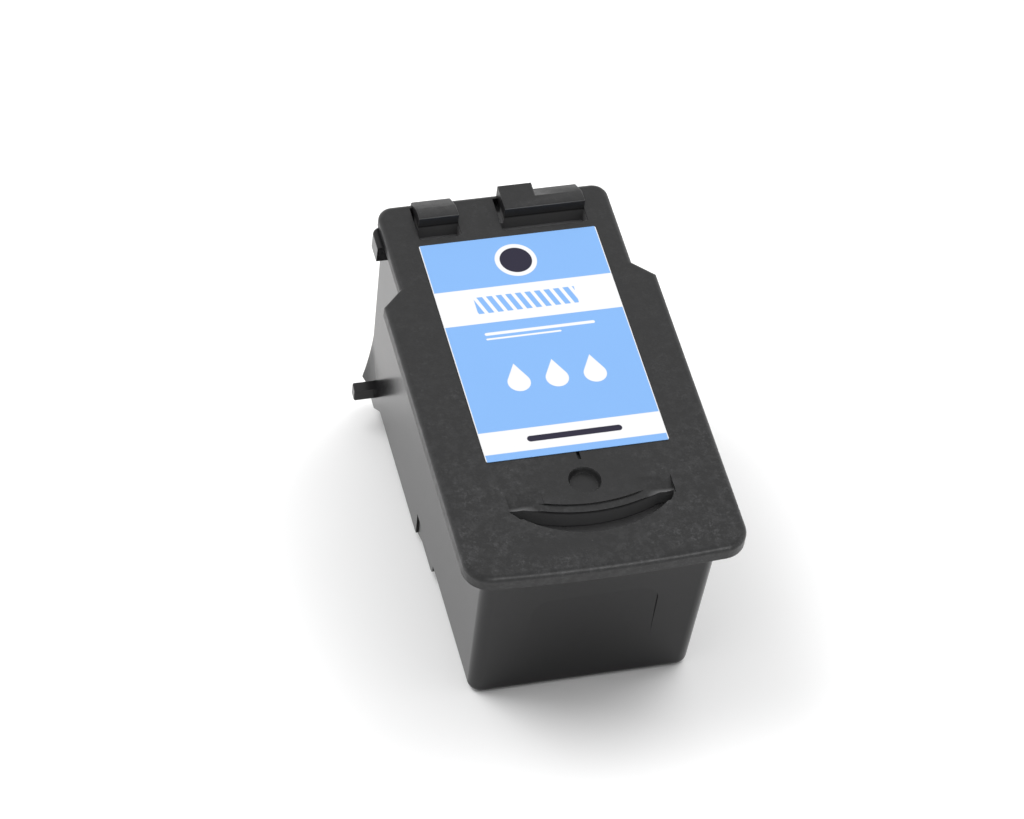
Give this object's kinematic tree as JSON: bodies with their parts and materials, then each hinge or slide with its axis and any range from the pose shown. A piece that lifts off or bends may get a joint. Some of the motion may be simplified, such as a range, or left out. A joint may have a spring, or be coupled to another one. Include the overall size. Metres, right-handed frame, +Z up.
{
  "type": "inkjet ink cartridge",
  "caption": "Black inkjet cartridge with a built-in print head, a labelled flat lid with latch blocks and a finger recess, guide tabs, and a contact film on its rear wall.",
  "frame": {"origin": "middle of the bounding box in plan, at the lowest point of the print head's face", "axes": "+X to the right seen from the label's front, +Y from the finger recess to the rear wall with the contacts, +Z up out of the lid, which lies level"},
  "size_m": [0.0428, 0.0738, 0.043],
  "materials": {
    "tank_plastic": "moulded black, satin",
    "lid_plastic": "moulded black, fine matt grain",
    "label_film": "printed film, light blue and white",
    "absorber_fibre": "fibre block soaked with black ink",
    "filter_mesh": "woven mesh",
    "silicon": "polished silicon",
    "nozzle_layer": "thin amber resin layer",
    "sealant": "cured black epoxy",
    "polyimide_film": "amber film with copper tracks",
    "gold_plate": "gold plating",
    "bond_adhesive": "thin pressed adhesive sheet",
    "copper_foil": null
  },
  "bodies": {
    "root": {"tank": "tank_plastic", "lid": "lid_plastic", "label": "label_film", "ink_absorber": "absorber_fibre", "outlet_filter": "filter_mesh", "printhead_chip": "silicon", "nozzle_plate": "nozzle_layer", "chip_adhesive": "sealant", "chip_sealant": "sealant", "flex_circuit": "polyimide_film", "bond_film": "bond_adhesive", "chip_leads_front": "copper_foil", "chip_leads_rear": "copper_foil", "contact_pads": "gold_plate", "sealant_bead_front": "sealant", "sealant_bead_rear": "sealant"}
  },
  "joints": []
}
